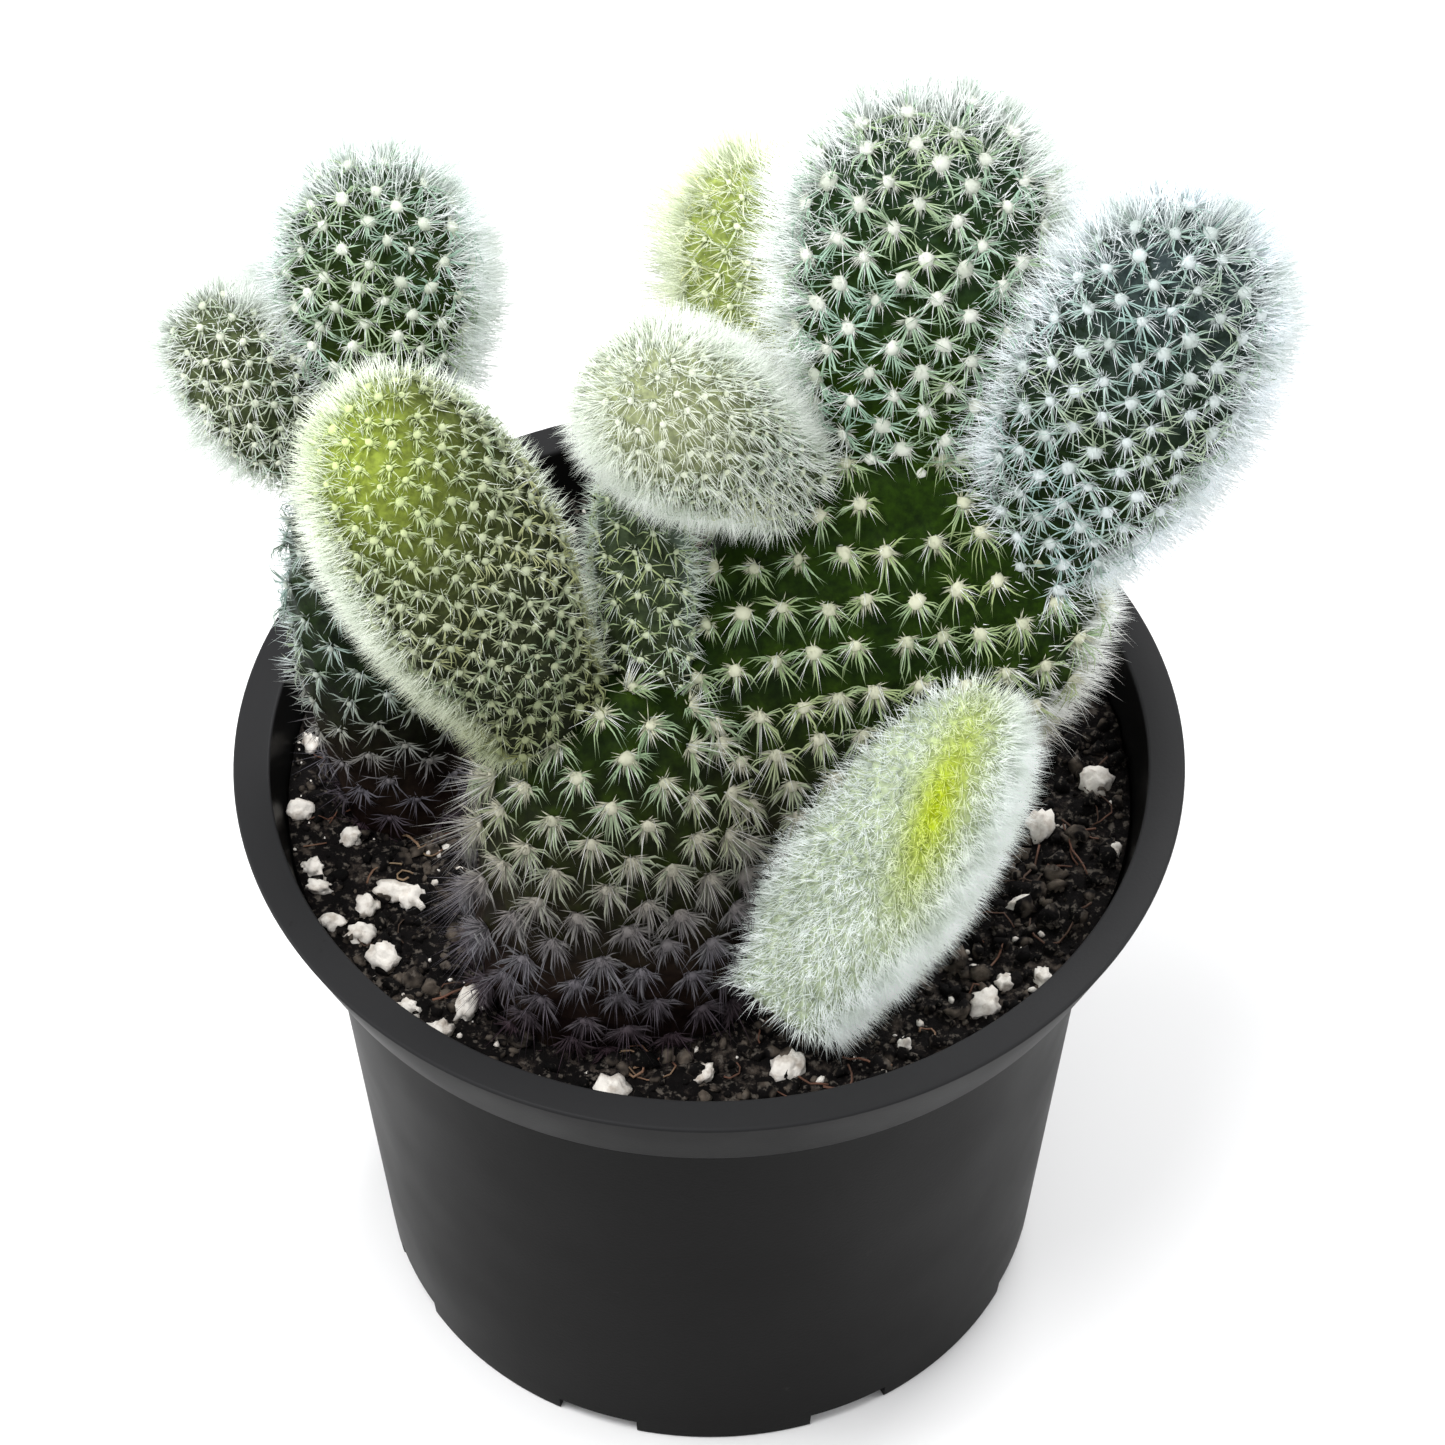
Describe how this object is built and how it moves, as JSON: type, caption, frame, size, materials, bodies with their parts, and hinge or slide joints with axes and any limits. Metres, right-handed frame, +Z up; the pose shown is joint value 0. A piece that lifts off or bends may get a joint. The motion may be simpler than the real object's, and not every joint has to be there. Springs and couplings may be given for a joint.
{
  "type": "potted bunny ears cactus",
  "caption": "Small branching cactus with flat oval pads covered in fine needles, growing in soil in a round tapered plastic nursery pot.",
  "frame": {"origin": "centre of the pot's flat underside", "axes": "+Z up along the pot's axis; -Y is the side that the broad faces of the pads look towards, +X to the right of that view"},
  "size_m": [0.1177, 0.1036, 0.1694],
  "materials": {
    "pot": "satin black polypropylene",
    "soil": "damp dark potting mix with white grains",
    "main_pad": "dark green skin with pale tufts",
    "young_pad_left": "yellow-green skin with dense pale tufts",
    "young_pad_front": "pale mint fuzz over lime skin",
    "old_pad_left": "very dark green skin with sparse pale tufts",
    "ear_left_upper": "dark green skin with pale tufts",
    "ear_left_lower": "grey-green skin with pale tufts",
    "bud_pad_middle": "grey-green skin with pale fuzz",
    "ear_top": "dark green skin with pale tufts",
    "ear_right": "blue-green skin with white tufts",
    "ear_back": "lime skin with pale fuzz",
    "ear_near": "sage skin with dense white fuzz"
  },
  "bodies": {
    "root": {"pot": "pot", "soil": "soil", "main_pad": "main_pad", "young_pad_left": "young_pad_left", "young_pad_front": "young_pad_front", "old_pad_left": "old_pad_left", "ear_left_upper": "ear_left_upper", "ear_left_lower": "ear_left_lower", "bud_pad_middle": "bud_pad_middle", "ear_top": "ear_top", "ear_right": "ear_right", "ear_back": "ear_back", "ear_near": "ear_near"}
  },
  "joints": []
}
